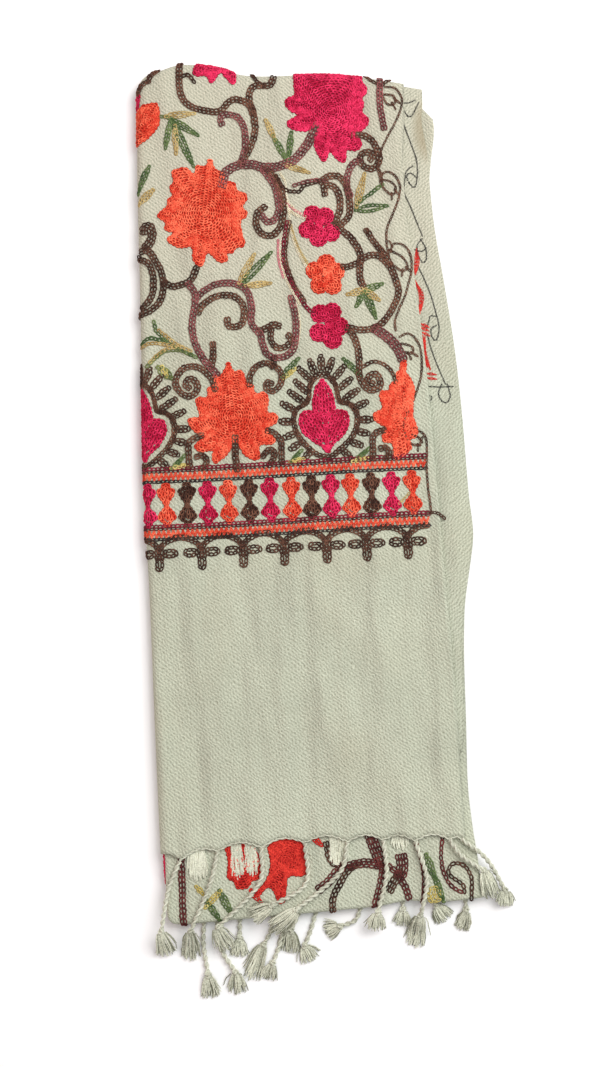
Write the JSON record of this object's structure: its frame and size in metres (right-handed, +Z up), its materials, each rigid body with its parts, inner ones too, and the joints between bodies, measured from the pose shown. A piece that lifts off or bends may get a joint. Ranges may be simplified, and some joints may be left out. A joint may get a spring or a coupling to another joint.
{
  "type": "folded embroidered shawl",
  "caption": "Pale woven shawl with chain-stitched flowers and scrolls and twisted tassel fringes, folded into a long flat stack.",
  "frame": {"origin": "on the flat underside of the folded stack, near its middle, in the plane it rests on", "axes": "+X to the right across the folded shawl, +Y along it from the fringed end to the far fold, +Z up from the surface it lies on"},
  "size_m": [0.2683, 0.7248, 0.0168],
  "materials": {
    "face_cloth": "matt twill wool",
    "hidden_cloth": "matt twill wool",
    "tassel_yarn": "soft twisted wool"
  },
  "bodies": {
    "root": {"front_cloth": "face_cloth", "second_cloth": "face_cloth", "rear_cloth": "face_cloth", "folded_stack": "hidden_cloth", "front_fringe": "tassel_yarn", "second_fringe": "tassel_yarn", "rear_fringe": "tassel_yarn"}
  },
  "joints": []
}
